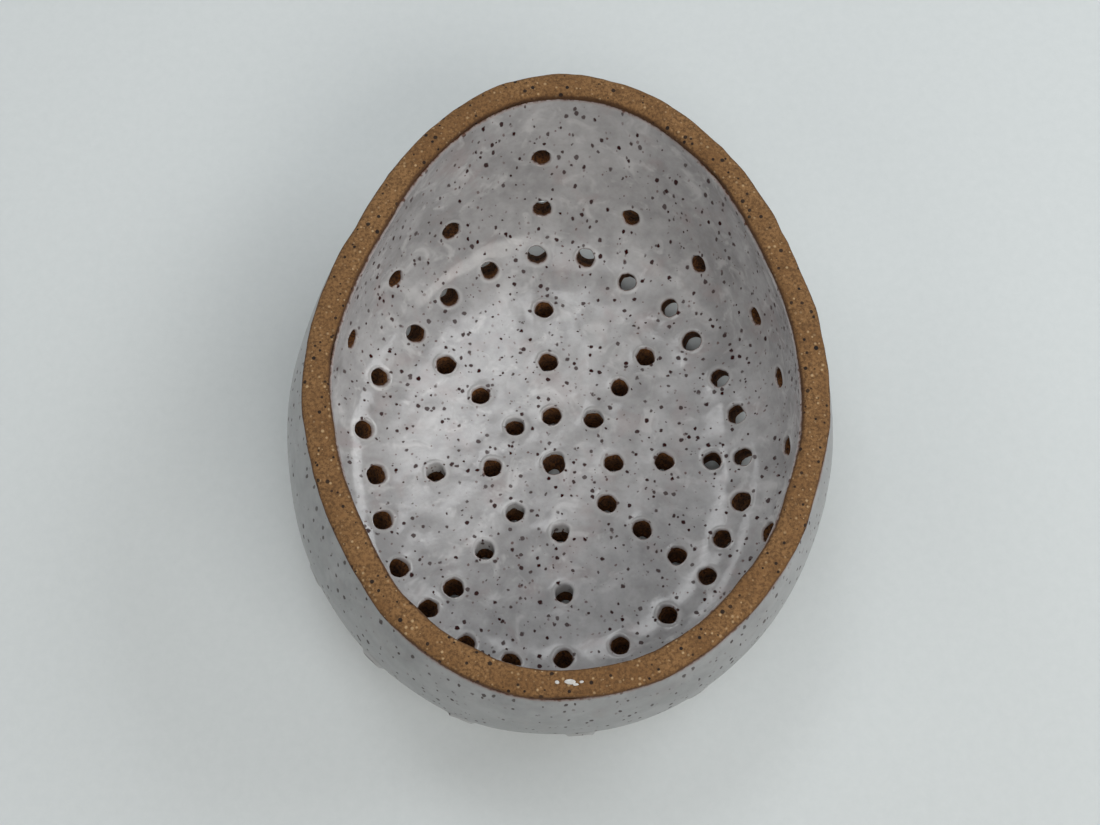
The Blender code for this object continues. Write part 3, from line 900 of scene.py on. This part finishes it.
def setDefaultEdge(piece):
    # the splash has no mouths or top line, so its attributes say they are far off
    setAttribute(piece, "mouthGap", [9.0] * len(piece.data.vertices))
    setAttribute(piece, "edgeGap", [9.0] * len(piece.data.vertices))


setDefaultEdge(glazeSplash)
innerGlaze.data.materials.append(speckledGlaze("satin oatmeal glaze, inside", insideLook))
outerGlaze.data.materials.append(speckledGlaze("satin oatmeal glaze, outside", outsideLook))
glazeSplash.data.materials.append(speckledGlaze("splashed glaze", splashLook))


def toastedStoneware(name, look):
    # Groggy buff stoneware fired bare and sponged: matt and sandy, with pale grog, dark iron specks, and edges
    # darkened partly by toasting and partly by painted shade.
    material, tree, shader, spots = startMaterial(name)
    colour = {key: hexColour(value) for key, value in look.items() if isinstance(value, str)}
    patches = addNode(tree, "ShaderNodeTexNoise", {"Vector": spots, "Scale": 1000 / look["patchSize"], "Detail": 3,
                                                   "Roughness": 0.6})
    patchy = addNode(tree, "ShaderNodeMapRange", {"Value": patches.outputs["Fac"], "From Min": 0.35,
                                                  "From Max": 0.65})
    base = addNode(tree, "ShaderNodeMix", {"Factor": patchy.outputs[0], "A": colour["dark"], "B": colour["light"]},
                   data_type="RGBA")
    sand = addNode(tree, "ShaderNodeTexNoise", {"Vector": spots, "Scale": 1000 / look["sandSize"], "Detail": 3,
                                                "Roughness": 0.7})
    sandy = addNode(tree, "ShaderNodeMapRange", {"Value": sand.outputs["Fac"], "From Min": 0.38, "From Max": 0.6})
    sanded = addNode(tree, "ShaderNodeMix", {"Factor": sandy.outputs[0], "A": colour["sandDark"],
                                             "B": base.outputs[2]}, data_type="RGBA")
    grog = grainPattern(tree, spots, look["grogEvery"], look["grogWide"], look["grogNarrow"], 5, 0.5, 0.1)
    groggy = addNode(tree, "ShaderNodeMath", {0: grog, 1: look["grogAmount"]}, operation="MULTIPLY")
    grogged = addNode(tree, "ShaderNodeMix", {"Factor": groggy.outputs[0], "A": sanded.outputs[2],
                                              "B": colour["grog"]}, data_type="RGBA")
    iron = grainPattern(tree, spots, look["ironEvery"], look["ironWide"], look["ironNarrow"], 21, 0.16, 0.8)
    specked = addNode(tree, "ShaderNodeMix", {"Factor": iron, "A": grogged.outputs[2], "B": colour["iron"]},
                      data_type="RGBA")
    finish = specked.outputs[2]
    if look["edges"]:
        # darker where the lip turns down to the glaze: partly toasting of the clay, partly painted shade on the
        # rounded sides
        side = addNode(tree, "ShaderNodeAttribute", attribute_name="rimSide").outputs["Fac"]
        away = addNode(tree, "ShaderNodeMath", {0: side}, operation="ABSOLUTE")
        ragged = addNode(tree, "ShaderNodeMath", {0: patches.outputs["Fac"], 1: 0.35, 2: away.outputs[0]},
                         operation="MULTIPLY_ADD")
        toastedAndShaded = addNode(tree, "ShaderNodeMapRange", {"Value": ragged.outputs[0], "From Min": 0.98,
                                                       "From Max": 1.2, "To Max": look["edgeToastAndShadeAmount"]},
                          interpolation_type="SMOOTHSTEP")
        finish = addNode(tree, "ShaderNodeMix", {"Factor": toastedAndShaded.outputs[0], "A": finish, "B": colour["edgeToastAndShade"]},
                         data_type="RGBA").outputs[2]
    if look["holes"]:
        # clay in the holes painted darker than the lip, partly torn sandy clay and partly painted shade, with more
        # painted shade half way down; mouthGap counts rings down from a mouth
        gap = addNode(tree, "ShaderNodeAttribute", attribute_name="mouthGap").outputs["Fac"]
        inside = addNode(tree, "ShaderNodeMapRange", {"Value": gap, "From Min": 0.1, "From Max": -0.2},
                         interpolation_type="SMOOTHSTEP")
        torn = addNode(tree, "ShaderNodeMix", {"Factor": sandy.outputs[0], "A": colour["holeDark"],
                                               "B": colour["holeLight"]}, data_type="RGBA")
        # painted shade: darker the further a ring is down the hole
        deeper = addNode(tree, "ShaderNodeMapRange", {"Value": gap, "From Min": -2.0, "From Max": -6.0,
                                                      "To Max": look["deepHoleShadeAmount"]})
        deepHoleShaded = addNode(tree, "ShaderNodeMix", {"Factor": deeper.outputs[0], "A": torn.outputs[2],
                                                 "B": colour["deepHoleShade"]}, data_type="RGBA")
        finish = addNode(tree, "ShaderNodeMix", {"Factor": inside.outputs[0], "A": finish, "B": deepHoleShaded.outputs[2]},
                         data_type="RGBA").outputs[2]
    tree.links.new(finish, shader.inputs["Base Color"])
    shader.inputs["Roughness"].default_value = 0.88
    shader.inputs["IOR"].default_value = 1.45
    gritHeight = addNode(tree, "ShaderNodeMath", {0: grog, 1: 0.6, 2: sand.outputs["Fac"]},
                         operation="MULTIPLY_ADD")
    grit = addNode(tree, "ShaderNodeBump", {"Strength": 1.0, "Distance": look["grit"] * mm,
                                            "Height": gritHeight.outputs[0]})
    tree.links.new(grit.outputs[0], shader.inputs["Normal"])
    return material


rimLook = {
    "dark": "#795631", "light": "#8E6A42", "patchSize": 9,
    "sandDark": "#5E4224", "sandSize": 0.65,  # coarser than real sand, so that it shows
    "grog": "#C9AB80", "grogAmount": 0.65, "grogEvery": 1.25, "grogWide": 0.75, "grogNarrow": 0.25,
    "iron": "#0E0604", "ironEvery": 2.0, "ironWide": 1.05, "ironNarrow": 0.35,
    # the edge colour is partly toasting of the clay and partly painted shade
    "edges": True, "edgeToastAndShade": "#472C17", "edgeToastAndShadeAmount": 0.8,
    "holes": False,
    "grit": 0.16,
}
# the hole colours are darker than the lip, partly painted shade, and the darkest one, used deep in the holes, is
# painted shade
wallLook = dict(rimLook, edges=False, holes=True, holeDark="#331B0B", holeLight="#764A20", deepHoleShade="#120A05",
                deepHoleShadeAmount=0.55, grit=0.22)
rimBand.data.materials.append(toastedStoneware("bare toasted stoneware", rimLook))
clayWall.data.materials.append(toastedStoneware("torn and bare stoneware", wallLook))
print("glazes and clays mixed")


def paperBoard(name, look):
    # Uncoated card: matt and very slightly fibrous.
    material, tree, shader, spots = startMaterial(name)
    fibre = addNode(tree, "ShaderNodeTexNoise", {"Vector": spots, "Scale": 1000 / 2.5, "Detail": 4,
                                                 "Roughness": 0.7})
    tint = addNode(tree, "ShaderNodeMix", {"Factor": fibre.outputs["Fac"], "A": hexColour(look["dark"]),
                                           "B": hexColour(look["light"])}, data_type="RGBA")
    tree.links.new(tint.outputs[2], shader.inputs["Base Color"])
    shader.inputs["Roughness"].default_value = 0.9
    bump = addNode(tree, "ShaderNodeBump", {"Strength": 0.4, "Distance": 0.05 * mm, "Height": fibre.outputs["Fac"]})
    tree.links.new(bump.outputs[0], shader.inputs["Normal"])
    return material


studio = {
    "floorSize": 2.4,
    "card": {"dark": "#CCD2D2", "light": "#D6DBDB"},
    "camera": {"target": (-1.5, -9.15, 48.0), "distance": 315.0, "elevation": 70.0, "lens": 49.1},
    # name: (turn round the pot, height above the card in degrees, distance, size, power, colour)
    "lights": {
        "key": (305, 44, 760, (560, 320), 2.3, "#FFFCF8"),
        "leftFill": (214, 36, 760, (520, 320), 0.7, "#FFFCF8"),
        "rightWindow": (24, 35, 760, (520, 300), 2.4, "#FBFDFF"),
        "leftWindow": (140, 25, 760, (480, 300), 1.45, "#FBFDFF"),
        "roofWindow": (112, 64, 760, (270, 190), 0.8, "#FBFDFF"),
        "skylight": (70, 63, 760, (520, 420), 0.35, "#FBFDFF"),
        "overShoulder": (262, 67, 760, (460, 340), 0.95, "#FCFDFF"),
    },
    "world": ("#FFFFFF", 0.055),
}

bpy.ops.mesh.primitive_plane_add(size=studio["floorSize"])
floor = bpy.context.object
floor.name = floor.data.name = "paleCard"
floor.data.materials.append(paperBoard("pale uncoated card", studio["card"]))
floor.select_set(False)

for name, (turn, height, distance, size, power, colour) in studio["lights"].items():
    light = bpy.data.lights.new(name, "AREA")
    light.shape = "RECTANGLE"
    light.size, light.size_y = size[0] * mm, size[1] * mm
    light.energy = power
    light.color = hexColour(colour)[:3]
    lamp = bpy.data.objects.new(name, light)
    turn, height = math.radians(turn), math.radians(height)
    facing = Vector((math.cos(turn) * math.cos(height), math.sin(turn) * math.cos(height), math.sin(height)))
    lamp.location = facing * distance * mm + Vector((0, 0, 0.03))
    lamp.rotation_euler = (-facing).to_track_quat("-Z", "Y").to_euler()
    bpy.context.collection.objects.link(lamp)

world = bpy.data.worlds.new("softRoom")
world.use_nodes = True
world.node_tree.nodes["Background"].inputs["Color"].default_value = hexColour(studio["world"][0])
world.node_tree.nodes["Background"].inputs["Strength"].default_value = studio["world"][1]
bpy.context.scene.world = world
bpy.context.scene.view_settings.view_transform = "Standard"

view = studio["camera"]
camera = bpy.data.objects.new("camera", bpy.data.cameras.new("camera"))
camera.data.lens = view["lens"]
camera.data.sensor_width = 36
tilt = math.radians(90 - view["elevation"])
target = Vector(view["target"]) * mm
camera.location = target + Vector((0, -math.sin(tilt), math.cos(tilt))) * view["distance"] * mm
camera.rotation_euler = (tilt, 0, 0)
camera.data.clip_start = 0.01
bpy.context.collection.objects.link(camera)
bpy.context.scene.camera = camera
print("card, lights and camera set")

for piece in (clayWall, innerGlaze, outerGlaze, rimBand, glazeSplash):
    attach(piece, "root")
